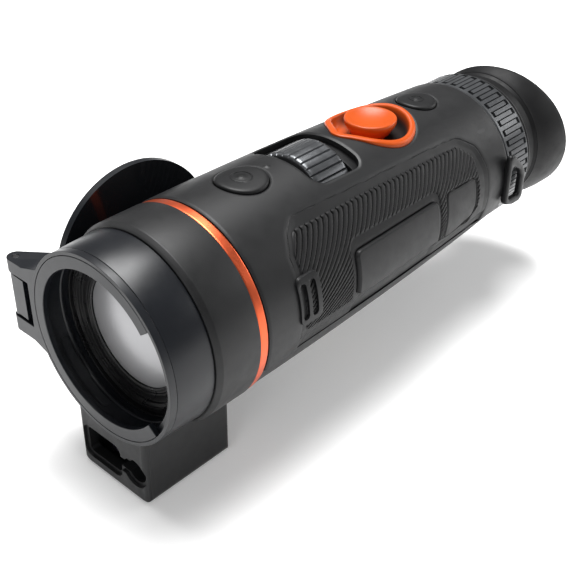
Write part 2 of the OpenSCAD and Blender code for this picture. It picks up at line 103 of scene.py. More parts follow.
def surface(name, colour, rough, metal=0.0, vary=0.12, rough_vary=0.06, grain=(2600.0, 0.00002),
            wear=None, coat=0.0, specular=0.5, painted_shade=False):
    """One procedural finish: mottled colour, uneven roughness, fine relief, rubbed edges and, where asked,
    painted shade.

    grain is the scale of the fine relief and its depth in metres. wear is the colour of rubbed edges and
    how strongly it shows. The last argument paints shade: where the mesh's own attribute of that name marks
    grooves and wells, the colour goes near black and duller.
    """
    mat = bpy.data.materials.new(name)
    mat.use_nodes = True
    tree = mat.node_tree
    shader = tree.nodes["Principled BSDF"]
    shader.inputs["Metallic"].default_value = metal
    shader.inputs["Coat Weight"].default_value = coat
    shader.inputs["Coat Roughness"].default_value = COAT_ROUGHNESS
    shader.inputs["Specular IOR Level"].default_value = specular
    place = node(tree, "ShaderNodeTexCoord")

    broad = node(tree, "ShaderNodeTexNoise", Scale=95.0, Detail=5.0, Roughness=0.6)
    tree.links.new(place.outputs["Object"], broad.inputs["Vector"])
    tone = node(tree, "ShaderNodeValToRGB")
    low = [c * (1.0 - vary) for c in colour]
    high = [min(1.0, c * (1.0 + vary)) for c in colour]
    tone.color_ramp.elements[0].position = 0.3
    tone.color_ramp.elements[0].color = (*low, 1)
    tone.color_ramp.elements[1].position = 0.7
    tone.color_ramp.elements[1].color = (*high, 1)
    tree.links.new(broad.outputs["Fac"], tone.inputs["Fac"])
    last = tone.outputs["Color"]

    patch = node(tree, "ShaderNodeTexNoise", Scale=260.0, Detail=4.0, Roughness=0.65)
    tree.links.new(place.outputs["Object"], patch.inputs["Vector"])
    gloss = node(tree, "ShaderNodeMapRange")
    gloss.inputs["From Min"].default_value = 0.3
    gloss.inputs["From Max"].default_value = 0.7
    gloss.inputs["To Min"].default_value = max(0.02, rough - rough_vary)
    gloss.inputs["To Max"].default_value = min(1.0, rough + rough_vary)
    tree.links.new(patch.outputs["Fac"], gloss.inputs["Value"])
    dull = gloss.outputs["Result"]
    # Painted shade: where the mesh's own attribute marks grooves and wells, the colour goes near black and
    # the surface duller
    if painted_shade:
        shade_weight = node(tree, "ShaderNodeAttribute", attribute_name="painted_shade")
        more = node(tree, "ShaderNodeMath", operation="MULTIPLY_ADD")
        more.inputs[1].default_value = PAINTED_SHADE_DULLNESS
        tree.links.new(shade_weight.outputs["Fac"], more.inputs[0])
        tree.links.new(dull, more.inputs[2])
        dull = more.outputs[0]
        shaded_colour = node(tree, "ShaderNodeMix", data_type="RGBA")
        shaded_colour.inputs[7].default_value = PAINTED_SHADE_COLOUR
        tree.links.new(shade_weight.outputs["Fac"], shaded_colour.inputs[0])
        tree.links.new(last, shaded_colour.inputs[6])
        last = shaded_colour.outputs[2]
    tree.links.new(dull, shader.inputs["Roughness"])

    if wear:
        wear_colour, amount = wear
        edge = node(tree, "ShaderNodeNewGeometry")
        keen = node(tree, "ShaderNodeMapRange")
        keen.inputs["From Min"].default_value = 0.53
        keen.inputs["From Max"].default_value = 0.62
        keen.inputs["To Max"].default_value = amount
        tree.links.new(edge.outputs["Pointiness"], keen.inputs["Value"])
        rub = node(tree, "ShaderNodeTexNoise", Scale=420.0, Detail=3.0)
        tree.links.new(place.outputs["Object"], rub.inputs["Vector"])
        both = node(tree, "ShaderNodeMath", operation="MULTIPLY")
        tree.links.new(keen.outputs["Result"], both.inputs[0])
        tree.links.new(rub.outputs["Fac"], both.inputs[1])
        mix = node(tree, "ShaderNodeMix", data_type="RGBA")
        mix.inputs[7].default_value = (*wear_colour, 1)
        tree.links.new(both.outputs[0], mix.inputs[0])
        tree.links.new(last, mix.inputs[6])
        last = mix.outputs[2]
    tree.links.new(last, shader.inputs["Base Color"])

    fine = node(tree, "ShaderNodeTexNoise", Scale=grain[0], Detail=2.0)
    tree.links.new(place.outputs["Object"], fine.inputs["Vector"])
    bump = node(tree, "ShaderNodeBump")
    bump.inputs["Strength"].default_value = 1.0
    bump.inputs["Distance"].default_value = grain[1]
    tree.links.new(fine.outputs["Fac"], bump.inputs["Height"])
    tree.links.new(bump.outputs["Normal"], shader.inputs["Normal"])
    return mat


def glass(name, colour, rough):
    """Clear glass with faint smears."""
    mat = bpy.data.materials.new(name)
    mat.use_nodes = True
    tree = mat.node_tree
    shader = tree.nodes["Principled BSDF"]
    shader.inputs["Transmission Weight"].default_value = 1.0
    shader.inputs["IOR"].default_value = GLASS_IOR
    shader.inputs["Base Color"].default_value = (*colour, 1)
    place = node(tree, "ShaderNodeTexCoord")
    smear = node(tree, "ShaderNodeTexNoise", Scale=150.0, Detail=4.0)
    tree.links.new(place.outputs["Object"], smear.inputs["Vector"])
    gloss = node(tree, "ShaderNodeMapRange")
    gloss.inputs["To Min"].default_value = rough
    gloss.inputs["To Max"].default_value = rough + 0.05
    tree.links.new(smear.outputs["Fac"], gloss.inputs["Value"])
    tree.links.new(gloss.outputs["Result"], shader.inputs["Roughness"])
    return mat


FINISH = {
    "anodised_barrel": surface("anodised_barrel", (0.0060, 0.0070, 0.0095), 0.34, vary=0.08, rough_vary=0.03,
                               grain=(3000.0, 0.000003), specular=0.34),
    "steel": surface("steel", (0.05, 0.05, 0.052), 0.34, metal=0.8, grain=(2400.0, 0.000004)),
    "cap_plastic": surface("cap_plastic", (0.007, 0.008, 0.010), 0.15, vary=0.08, rough_vary=0.03,
                           grain=(900.0, 0.000001), specular=0.5),
    "black_rubber": surface("black_rubber", (0.008, 0.008, 0.0085), 0.62, specular=0.3),
    "black_anodised": surface("black_anodised", (0.004, 0.004, 0.0045), 0.30, grain=(2400.0, 0.000003),
                              specular=0.40),
    "germanium": surface("germanium", (0.36, 0.36, 0.37), 0.34, metal=0.45, vary=0.03, rough_vary=0.03,
                         grain=(300.0, 0.0000003), specular=0.6),
    "soft_touch": surface("soft_touch", (0.0078, 0.0080, 0.0086), 0.46, vary=0.10, rough_vary=0.05,
                          grain=(3400.0, 0.000013), specular=0.31, wear=((0.030, 0.030, 0.032), 0.6)),
    "orange_metal": surface("orange_metal", (0.72, 0.125, 0.048), 0.34, metal=0.92, vary=0.05,
                            grain=(2600.0, 0.000005)),
    # painted shade darkens the grooves between the grip's ribs
    "grip_rubber": surface("grip_rubber", (0.0084, 0.0085, 0.0090), 0.46, grain=(3000.0, 0.000010),
                           specular=0.24, painted_shade=True),
    "plate_plastic": surface("plate_plastic", (0.0088, 0.0090, 0.0096), 0.42, grain=(2600.0, 0.000008),
                             specular=0.22),
    "lug_plastic": surface("lug_plastic", (0.0060, 0.0062, 0.0068), 0.40, grain=(2600.0, 0.000008),
                           specular=0.26),
    "button_rubber": surface("button_rubber", (0.0070, 0.0072, 0.0077), 0.46, grain=(3000.0, 0.000010),
                             specular=0.24),
    # painted shade darkens the deep rear of the menu bezel's well
    "orange_plastic": surface("orange_plastic", (0.50, 0.070, 0.0045), 0.36, vary=0.05,
                              grain=(2600.0, 0.000008), specular=0.28, painted_shade=True),
    "white_plastic": surface("white_plastic", (0.7, 0.7, 0.68), 0.4),
    "circuit_board": surface("circuit_board", (0.02, 0.14, 0.06), 0.4, grain=(1400.0, 0.00002)),
    "black_plastic": surface("black_plastic", (0.0065, 0.0065, 0.007), 0.40, grain=(2600.0, 0.000008),
                             specular=0.26),
    "wheel_metal": surface("wheel_metal", (0.115, 0.119, 0.125), 0.34, metal=0.85, vary=0.08,
                           grain=(2600.0, 0.000006), wear=((0.18, 0.18, 0.19), 0.5)),
    "grey_metal": surface("grey_metal", (0.16, 0.16, 0.165), 0.38, metal=0.9),
    "battery_wrap": surface("battery_wrap", (0.03, 0.08, 0.22), 0.3),
    "brass": surface("brass", (0.55, 0.36, 0.14), 0.3, metal=1.0),
    "clear_glass": glass("clear_glass", (0.92, 0.95, 0.98), 0.01),
    "lrf_glass": surface("lrf_glass", (0.010, 0.008, 0.013), 0.06, coat=0.5, grain=(300.0, 0.0000003)),
    "ring_metal": surface("ring_metal", (0.060, 0.063, 0.067), 0.33, metal=0.45, grain=(2600.0, 0.000006),
                          specular=0.7, wear=((0.10, 0.10, 0.105), 0.6)),
    "eyecup_rubber": surface("eyecup_rubber", (0.0060, 0.0060, 0.0065), 0.50, grain=(2800.0, 0.000015),
                             specular=0.16),
}

SLOT_OF = {p["node"]: p["material_slot"] for p in frame["record"]["subparts"]}
for name, obj in frame["nodes"].items():
    obj.data.materials.clear()
    obj.data.materials.append(FINISH[SLOT_OF[name]])

# ---------------------------------------------------------------- mesh helpers, lengths in millimetres


def rounded(points, radius, steps=4):
    """A closed outline with every corner turned on a radius. A point may carry its own radius."""
    count, out = len(points), []
    for i in range(count):
        before, here, after = (np.array(points[(i + k) % count][:2], float) for k in (-1, 0, 1))
        r = points[i][2] if len(points[i]) > 2 else radius
        a, b = before - here, after - here
        la, lb = np.linalg.norm(a), np.linalg.norm(b)
        a, b = a / la, b / lb
        angle = math.acos(max(-1.0, min(1.0, float(a @ b))))
        if r <= 0 or angle > 3.1:
            out.append(tuple(here))
            continue
        run = min(r / math.tan(angle / 2), 0.48 * la, 0.48 * lb)
        r = run * math.tan(angle / 2)
        centre = here + (a + b) / np.linalg.norm(a + b) * (r / math.sin(angle / 2))
        v0, v1 = here + a * run - centre, here + b * run - centre
        a0, a1 = math.atan2(v0[1], v0[0]), math.atan2(v1[1], v1[0])
        sweep = (a1 - a0 + math.pi) % (2 * math.pi) - math.pi
        for k in range(steps + 1):
            t = a0 + sweep * k / steps
            out.append((centre[0] + r * math.cos(t), centre[1] + r * math.sin(t)))
    return out


def resampled(outline, step, count=None):
    """The same closed outline with points at even spacing, no further apart than step."""
    pts = np.array(outline + [outline[0]], float)
    gap = np.linalg.norm(np.diff(pts, axis=0), axis=1)
    along = np.concatenate([[0], np.cumsum(gap)])
    count = count or max(8, int(math.ceil(along[-1] / step)))
    t = np.linspace(0, along[-1], count, endpoint=False)
    return [(float(np.interp(v, along, pts[:, 0])), float(np.interp(v, along, pts[:, 1]))) for v in t]


def build(name, verts, faces, body, slot, replaces=(), smooth=40.0):
    """A mesh object in the row frame from points in millimetres, riding on its body."""
    mesh = bpy.data.meshes.new(name)
    mesh.from_pydata([(x * MM, y * MM, z * MM) for x, y, z in verts], [], faces)
    mesh.validate()
    face_outwards(mesh)
    obj = bpy.data.objects.new(name, mesh)
    bpy.context.collection.objects.link(obj)
    settle(obj, body, slot, replaces, smooth)
    return obj


def face_outwards(mesh):
    """Turns every face of a closed mesh to the outside."""
    bm = bmesh.new()
    bm.from_mesh(mesh)
    bmesh.ops.recalc_face_normals(bm, faces=bm.faces)
    bm.to_mesh(mesh)
    bm.free()


def settle(obj, body, slot, replaces=(), smooth=40.0):
    """Gives a finished mesh the material for its record slot, its shading and its body, and hides the CAD
    nodes it stands for.
    """
    mesh = obj.data
    mesh.materials.clear()
    mesh.materials.append(FINISH[slot])
    mesh.shade_smooth()
    mesh.set_sharp_from_angle(angle=math.radians(smooth))
    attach(obj, body)
    if replaces:
        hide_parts(*replaces)


def lofted(rings, ends=True):
    """Quads between rings of equal length, with a face over each end ring."""
    count = len(rings[0])
    verts = [p for ring in rings for p in ring]
    faces = []
    for k in range(len(rings) - 1):
        a, b = k * count, (k + 1) * count
        faces += [(a + i, a + (i + 1) % count, b + (i + 1) % count, b + i) for i in range(count)]
    if ends:
        faces.append(tuple(range(count))[::-1])
        faces.append(tuple(range((len(rings) - 1) * count, len(rings) * count)))
    return verts, faces


def looped(rings):
    """Quads between rings of equal length, with the last ring joined to the first."""
    count = len(rings[0])
    verts, faces = lofted(rings, ends=False)
    last = (len(rings) - 1) * count
    faces += [(last + i, last + (i + 1) % count, (i + 1) % count, i) for i in range(count)]
    return verts, faces


def turned(profile, segments=192, shift=None):
    """A closed profile of (r, y) turned about the optical axis. shift(angle, r, y) moves a point."""
    verts, faces, count = [], [], len(profile)
    for i in range(segments):
        t = 2 * math.pi * i / segments
        for r, y in profile:
            if shift:
                r, y = shift(t, r, y)
            verts.append((r * math.cos(t), y, r * math.sin(t)))
    for i in range(segments):
        a, b = i * count, ((i + 1) % segments) * count
        faces += [(a + k, a + (k + 1) % count, b + (k + 1) % count, b + k) for k in range(count)]
    return verts, faces


def spun(profile, x, y, segments=128):
    """A profile of (r, z), from axis to axis, spun about a vertical axis and closed at both ends."""
    angles = [2 * math.pi * i / segments for i in range(segments)]
    return lofted([[(x + r * math.cos(a), y + r * math.sin(a), z) for a in angles] for r, z in profile])


def cut(obj, *cutters, mode="DIFFERENCE"):
    """Cuts closed meshes, given as (verts, faces), out of an object, or keeps only what lies inside them."""
    for verts, faces in cutters:
        mesh = bpy.data.meshes.new("cutter")
        mesh.from_pydata([(x * MM, y * MM, z * MM) for x, y, z in verts], [], faces)
        face_outwards(mesh)
        tool = bpy.data.objects.new("cutter", mesh)
        bpy.context.collection.objects.link(tool)
        mod = obj.modifiers.new("cut", "BOOLEAN")
        mod.operation = mode
        mod.solver = "EXACT"
        mod.object = tool
        apply_modifiers(obj)
        bpy.data.objects.remove(tool)


def apply_modifiers(obj):
    """Replaces an object's mesh with the mesh that its modifiers make."""
    graph = bpy.context.evaluated_depsgraph_get()
    graph.update()
    done = bpy.data.meshes.new_from_object(obj.evaluated_get(graph))
    obj.modifiers.clear()
    old = obj.data
    obj.data = done
    bpy.data.meshes.remove(old)


BODY_OF = {n: b for b, names in frame["record"]["behaviour"]["bodies"].items() for n in names}
WELD, FLAT_DEGREES, SHARP_DEGREES, SMOOTH_DEGREES = 0.000002, 0.6, 28.0, 38.0


def softened(name, width):
    """Stands for a CAD node: the same solid with its sharp edges broken, as moulded and turned parts are."""
    source = frame["nodes"][name]
    bm = bmesh.new()
    bm.from_mesh(source.data)
    bmesh.ops.remove_doubles(bm, verts=bm.verts, dist=WELD)
    bmesh.ops.dissolve_limit(bm, angle_limit=math.radians(FLAT_DEGREES), verts=bm.verts, edges=bm.edges)
    sharp = [e for e in bm.edges
             if len(e.link_faces) == 2 and e.calc_face_angle(0) > math.radians(SHARP_DEGREES)]
    bmesh.ops.bevel(bm, geom=sharp, offset=width * MM, offset_type="OFFSET", segments=2, profile=0.5,
                    affect="EDGES", clamp_overlap=True, miter_outer="ARC")
    bmesh.ops.recalc_face_normals(bm, faces=bm.faces)
    mesh = bpy.data.meshes.new(name + "_look")
    bm.to_mesh(mesh)
    bm.free()
    obj = bpy.data.objects.new(name + "_look", mesh)
    bpy.context.collection.objects.link(obj)
    settle(obj, BODY_OF[name], SLOT_OF[name], (name,), SMOOTH_DEGREES)
    level = obj.modifiers.new("level", "WEIGHTED_NORMAL")
    level.keep_sharp = True
    level.weight = 100
    apply_modifiers(obj)


# ---------------------------------------------------------------- shapes shared with the CAD, millimetres

BARREL_R, BARREL_MIDDLE, BARREL_FALL = 30.3, 31.0, 0.000251
SHELL_Y0, SHELL_Y1, WALL, SEAM_Z = 33.8, 154.8, 2.0, -11.0
BUTTON_Y, BUTTON_R = 54.0, 7.75
POWER_Y, POWER_R = 134.8, 6.6
PIP_Y = 64.2
MENU_Y, WELL_Z = 111.0, 23.2
BEZEL_R, NOSE_R, NOSE_RUN = 14.3, 4.5, 12.5
ARC = 29.6 * math.pi / 180.0    # arc length on the barrel for one degree


def body_r(y):
    """Radius of the barrel, which is fullest a little behind the orange band."""
    return BARREL_R - BARREL_FALL * (y - BARREL_MIDDLE) ** 2


def ease(v):
    """A smooth step from 0 to 1."""
    v = np.clip(v, 0.0, 1.0)
    return v * v * (3 - 2 * v)


def outline_distance(x, y, outline):
    """Signed distance from points to a closed outline, negative inside."""
    pts = np.array(outline, float)
    best = np.full(np.shape(x), 1e9)
    inside = np.zeros(np.shape(x), bool)
    for (ax, ay), (bx, by) in zip(pts, np.roll(pts, -1, axis=0)):
        dx, dy = bx - ax, by - ay
        t = np.clip(((x - ax) * dx + (y - ay) * dy) / (dx * dx + dy * dy + 1e-12), 0, 1)
        best = np.minimum(best, np.hypot(x - ax - t * dx, y - ay - t * dy))
        if abs(dy) > 1e-9:
            inside ^= ((ay > y) != (by > y)) & (x < ax + (y - ay) * dx / dy)
    return np.where(inside, -best, best)


def teardrop(grow=0.0, step=0.5):
    """Outline of the menu bezel seen from above."""
    a = math.asin((BEZEL_R - NOSE_R) / NOSE_RUN)
    big, nose = BEZEL_R + grow, NOSE_R + grow
    pts = []
    for k in range(97):
        t = -a + (math.pi + 2 * a) * k / 96
        pts.append((big * math.cos(t), MENU_Y + big * math.sin(t)))
    for k in range(33):
        t = math.pi + a + (math.pi - 2 * a) * k / 32
        pts.append((nose * math.cos(t), MENU_Y - NOSE_RUN + nose * math.sin(t)))
    return resampled(pts, step)


def rounded_box(x0, y0, x1, y1, r, step=0.5):
    """Outline of a rectangle with rounded corners."""
    return resampled(rounded([(x0, y0), (x1, y0), (x1, y1), (x0, y1)], r, 8), step)


def side_outline(points, radius):
    """Closed outline in (y, arc length above the axis) from corners in (y, degrees)."""
    return resampled(rounded([(p[0], p[1] * ARC, *p[2:]) for p in points], radius, 8), 0.8)


# Outlines on the flank: the grip, its ribbed field, the two smooth bays in it, and the side plate
GRIP = side_outline([(46.2, -26, 0.5), (47.0, 36, 4), (50.4, 48.5, 4), (55.0, 55.6, 3), (80.4, 53.6, 3),
                     (124.4, 51.4, 3), (133.0, 49.8, 5), (139.6, 38.6, 6), (142.2, 20, 6),
                     (142.4, -26, 0.5)], 3)
RIBS = side_outline([(48.6, -9.5, 2), (49.2, 36, 4), (52.6, 47.7, 3), (81.9, 47.0, 3), (116.1, 45.1, 3),
                     (130.5, 43.8, 4), (136.2, 33, 5), (137.0, 10, 6), (136.2, -4.5, 3), (131.5, -13, 2.5),
                     (118, -11.5, 2), (72, -9.5, 2)], 3)
PLATE_BAY = side_outline([(69.8, 27.5, 3.5), (113.3, 25.5, 2.5), (113.5, -26, 0.5), (69.8, -26, 0.5)], 2)
REAR_BAY = side_outline([(118, 19.3), (134.5, 18.4), (134.2, -1.5), (132.8, -8.2), (120.2, -12.4),
                         (117.2, -11.2)], 1.4)
PLATE = side_outline([(71.5, 19.6), (112, 19.6), (112, -7.8), (71.5, -7.8)], 1.6)
WINDOW = rounded_box(-14, 70.8, 14, 91.2, 4)
DROP = teardrop()


def barrel_mesh(height, y0, y1, z_seam, cells_y, cells_t, inner, span=None):
    """A closed slab on the upper part of the barrel.

    height(y, t, x) is how far the outer skin stands off the barrel. t is the angle in degrees from +X.
    span gives the two angles of a slab that doesn't run from seam to seam. inner is the depth of its back.
    """
    ys = np.linspace(y0, y1, cells_y + 1)
    w = np.linspace(0, 1, cells_t + 1)
    r0 = body_r(ys)
    low = np.degrees(np.arcsin(z_seam / (r0 - 1.0)))
    first, last = low, 180 - low
    if span is not None:
        first, last = np.full_like(low, span[0]), np.full_like(low, span[1])
    yy = np.repeat(ys[:, None], cells_t + 1, 1)
    tt = first[:, None] + (last - first)[:, None] * w[None, :]
    rr = np.repeat(r0[:, None], cells_t + 1, 1)
    rad = np.radians(tt)
    outer = rr + height(yy, tt, rr * np.cos(rad))
    verts = np.stack([outer * np.cos(rad), yy, outer * np.sin(rad)], -1)
    if span is None:
        for col in (0, -1):
            verts[:, col, 2] = z_seam
            verts[:, col, 0] = np.sign(verts[:, col, 0]) * np.sqrt(outer[:, col] ** 2 - z_seam ** 2)
    nt, ny = cells_t + 1, cells_y + 1
    points = verts.reshape(-1, 3).tolist()
    faces = []
    for j in range(cells_y):
        a = j * nt
        faces += [(a + i, a + i + 1, a + nt + i + 1, a + nt + i) for i in range(cells_t)]
    rows = list(range(0, ny, max(1, cells_y // 8)))
    if rows[-1] != ny - 1:
        rows.append(ny - 1)
    base = len(points)
    for j in rows:
        back = rr[j] - inner
        place = np.stack([back * np.cos(rad[j]), yy[j], back * np.sin(rad[j])], -1)
        if span is None:
            for col in (0, -1):
                place[col, 2] = z_seam
                place[col, 0] = np.sign(place[col, 0]) * math.sqrt(back[col] ** 2 - z_seam ** 2)
        points += place.tolist()
    for k in range(len(rows) - 1):
        a = base + k * nt
        faces += [(a + i + 1, a + i, a + nt + i, a + nt + i + 1) for i in range(cells_t)]
    inside = base + (len(rows) - 1) * nt
    top = (ny - 1) * nt
    faces += [(i + 1, i, base + i, base + i + 1) for i in range(cells_t)]
    faces += [(top + i, top + i + 1, inside + i + 1, inside + i) for i in range(cells_t)]
    for col in (0, cells_t):
        for k in range(len(rows) - 1):
            edge = [j * nt + col for j in range(rows[k], rows[k + 1] + 1)]
            faces.append(tuple(edge + [base + (k + 1) * nt + col, base + k * nt + col]))
    return points, faces


def lead_arc(t):
    """Arc length above the axis on either flank."""
    return np.minimum(t, 180 - t) * ARC


def frame_ramp(d):
    """The gentle slope that leads down from the shell into a grip."""
    return 0.42 * np.clip((0.6 - d) / 3.2, 0, 1)


def shell_height(y, t, x):
    """The top shell: sunk under the grips, eased off round each opening and at both ends, with one pip."""
    d = outline_distance(y, lead_arc(t), GRIP)
    h = -frame_ramp(d) - 0.9 * ease((-d - 0.5) / 0.5)
    from_button = np.hypot(x, y - BUTTON_Y) - BUTTON_R
    from_power = np.hypot(x, y - POWER_Y) - POWER_R
    h -= np.where(t > 0, 0.45 * (1 - ease((from_button - 0.1) / 0.75)), 0)
    h -= 0.40 * (1 - ease((from_power - 0.1) / 0.75))
    h -= 0.35 * (1 - ease(outline_distance(x, y, WINDOW) / 0.8))
    h -= 0.30 * (1 - ease(outline_distance(x, y, DROP) / 0.7))
    h += 0.38 * ease(1 - np.hypot(x, y - PIP_Y) / 1.3)
    h -= 0.45 * (1 - ease((SHELL_Y1 - y) / 0.9))
    h -= 0.30 * (1 - ease((y - SHELL_Y0) / 0.6))
    return h


RIB_PITCH, RIB_START = 2.2, 53.7


def rib_field(y, t):
    """How strongly the ribs show at a place, the groove between them, and what else a grip needs there."""
    s = lead_arc(t)
    lean = 45 - s / ARC
    field = outline_distance(y, s, RIBS)
    bay = outline_distance(y, s, PLATE_BAY)
    rear = outline_distance(y, s, REAR_BAY)
    amount = ease(-field / 0.5) * ease(bay / 0.8) * ease((rear - 0.7) / 0.5)
    top_edge = (48.0 - 0.040 * (y - 52.6)) * ARC
    hook = 0.9 * ease(1 - (top_edge - s) / 1.5)
    q = (y + 0.31 * lean + 0.0058 * lean * np.abs(lean) + hook - RIB_START) / RIB_PITCH
    q = np.abs(q - np.round(q)) * RIB_PITCH
    return amount, ease(1.30 - q / 0.25), 0.07 * ease(q / (RIB_PITCH / 2)), bay, rear


def grip_height(y, t, _x):
    """A grip: its sloping frame, its ribs, and the smooth bays for the side plate and behind it."""
    s = lead_arc(t)
    d = outline_distance(y, s, GRIP)
    amount, groove, crown, bay, rear = rib_field(y, t)
    h = -frame_ramp(d) - 1.5 * (1 - ease((-d - 0.1) / 0.4))
    h = h + amount * (0.28 + crown - 1.15 * groove)
    h -= 0.55 * ease((-bay - 0.2) / 3.6) * ease((24 * ARC - s) / 5)
    h += 0.12 * ease((-rear) / 0.4) - 0.55 * ease(1 - np.abs(rear - 0.25) / 0.38)
    edge = outline_distance(y, s, PLATE)
    h -= 0.45 * ease(1 - np.abs(edge - 0.15) / 0.5)
    h -= 0.45 * ease((-11.8 * ARC - s) / 2.2)
    return h


def plate_height(y, t, _x):
    """The side plate, left blank."""
    edge = -outline_distance(y, lead_arc(t), PLATE)
    return 0.10 + 0.45 * ease(edge / 0.45) - 1.6 * ease(-edge / 0.18)


top_shell = build("top_shell_look", *barrel_mesh(shell_height, SHELL_Y0, SHELL_Y1, SEAM_Z, 330, 340, WALL),
                  "housing", "soft_touch", ("top_shell",), smooth=50)


def upright(outline, z0, z1):
    """A vertical prism for cutting, from an outline in (x, y)."""
    return lofted([[(px, py, z0) for px, py in outline], [(px, py, z1) for px, py in outline]])


def disc(x, y, r):
    """Outline of a circle."""
    angles = [2 * math.pi * k / 96 for k in range(96)]
    return [(x + r * math.cos(a), y + r * math.sin(a)) for a in angles]


cut(top_shell, upright(disc(0, BUTTON_Y, BUTTON_R + 0.25), 20, 40),
    upright(disc(0, POWER_Y, POWER_R + 0.25), 18, 40), upright(WINDOW, 18, 40),
    upright(teardrop(-0.25), 15, 40))
settle(top_shell, "housing", "soft_touch", ("top_shell",), 50)


def millimetres(obj):
    """An object's points as an array, in millimetres."""
    co = np.empty(len(obj.data.vertices) * 3)
    obj.data.vertices.foreach_get("co", co)
    return co.reshape(-1, 3) / MM


def store_painted_shade(obj, depth):
    """Keeps how much painted shade each point gets, from 0 to 1, for the material to read."""
    obj.data.attributes.new("painted_shade", "FLOAT", "POINT").data.foreach_set("value", depth.astype(np.float32))


def paint_groove_shade(obj):
    """Paints shade into the grooves between the ribs of a grip."""
    co = millimetres(obj)
    t = np.degrees(np.arctan2(co[:, 2], np.abs(co[:, 0])))
    amount, groove = rib_field(co[:, 1], t)[:2]
    store_painted_shade(obj, np.minimum(1.0, 1.3 * amount * groove))


for side, label in ((1, "right"), (-1, "left")):
    points, faces = barrel_mesh(grip_height, 45.6, 143.2, SEAM_Z + 0.1, 600, 140, 2.0, span=(-21.9, 57.0))
    points = [(side * px, py, pz) for px, py, pz in points]
    grip = build(f"grip_{label}_look", points, faces, "housing", "grip_rubber", (f"grip_{label}",), smooth=60)
    paint_groove_shade(grip)
    points, faces = barrel_mesh(plate_height, 70.9, 112.6, SEAM_Z, 210, 90, 1.6, span=(-9.2, 21.0))
    points = [(side * px, py, pz) for px, py, pz in points]
    build(f"side_plate_{label}_look", points, faces, "housing", "plate_plastic", (f"side_plate_{label}",),
          smooth=60)


def drop_radius(grow, angles):
    """How far the teardrop's outline lies from the middle of the menu button, at given angles."""
    pts = np.array(teardrop(grow, 0.2))
    a = np.arctan2(pts[:, 1] - MENU_Y, pts[:, 0])
    order = np.argsort(a)
    return np.interp(angles, a[order], np.hypot(pts[:, 0], pts[:, 1] - MENU_Y)[order], period=2 * math.pi)


def menu_bezel():
    """The teardrop bezel: a rolled rim that follows the barrel, and a well, steep except at the nose."""
    a = np.linspace(-math.pi, math.pi, 256, endpoint=False)
    nose = ease((-np.sin(a) - 0.55) / 0.4)
    rings = []

    def on_barrel(grow, h):
        rho = drop_radius(grow, a)
        h = h * (1 - 0.55 * nose * (h > 0))
        x, y = rho * np.cos(a), MENU_Y + rho * np.sin(a)
        rings.append(list(zip(x, y, np.sqrt((body_r(y) + h) ** 2 - x * x))))

    for grow, h in ((-0.15, -1.7), (-0.02, 0.20), (-0.05, 0.48), (-0.2, 0.72), (-0.45, 0.86), (-0.9, 0.93),
                    (-1.4, 0.88), (-1.8, 0.72), (-2.05, 0.45), (-2.15, 0.1)):
        on_barrel(grow, h)
    rho_in = drop_radius(-2.15, a)
    edge_x, edge_y = rho_in * np.cos(a), MENU_Y + rho_in * np.sin(a)
    edge_z = np.sqrt((body_r(edge_y) + 0.1) ** 2 - edge_x ** 2)
    power = 3.4 * (1 - nose) + 1.15 * nose
    for w in (0.04, 0.1, 0.18, 0.28, 0.4, 0.55, 0.7, 0.85, 1.0):
        rho = rho_in + (9.0 - rho_in) * w
        z = WELL_Z + 0.15 + (edge_z - WELL_Z - 0.15) * (1 - w) ** power
        rings.append(list(zip(rho * np.cos(a), MENU_Y + rho * np.sin(a), z)))
    for r, z in ((6.0, WELL_Z), (3.45, WELL_Z), (3.45, 21.8), (12.6, 21.8)):
        rings.append([(r * math.cos(v), MENU_Y + r * math.sin(v), z) for v in a])
    bezel = build("menu_bezel_look", *looped(rings), "housing", "orange_plastic", ("menu_bezel",), smooth=55)
    # Painted shade in the well: darkest deep down, towards the rear and inside the rim
    co = millimetres(bezel)
    rear = ease((co[:, 1] - MENU_Y + 5.0) / 8.0)
    rho = np.hypot(co[:, 0], co[:, 1] - MENU_Y)
    inside = ease((drop_radius(-1.7, np.arctan2(co[:, 1] - MENU_Y, co[:, 0])) - rho) / 1.2)
    store_painted_shade(bezel, 0.99 * ease((28.8 - co[:, 2]) / 2.6) * rear * inside)


menu_bezel()

# The menu button: a stem, a cone that widens upwards, and a dished top
menu_button = [(0.02, 20.25), (3.0, 20.25), (3.0, 24.6), (6.05, 24.6), (6.3, 24.75), (8.05, 27.6),
               (8.26, 28.1), (8.30, 28.8), (8.28, 29.25), (8.15, 29.52), (7.9, 29.66), (7.5, 29.66),
               (6.9, 29.40), (5.5, 28.86), (4.0, 28.42), (2.0, 28.10), (0.02, 28.00)]
build("menu_button_look", *spun(menu_button, 0, MENU_Y, 160), "button_menu", "orange_plastic",
      ("menu_button",), smooth=50)


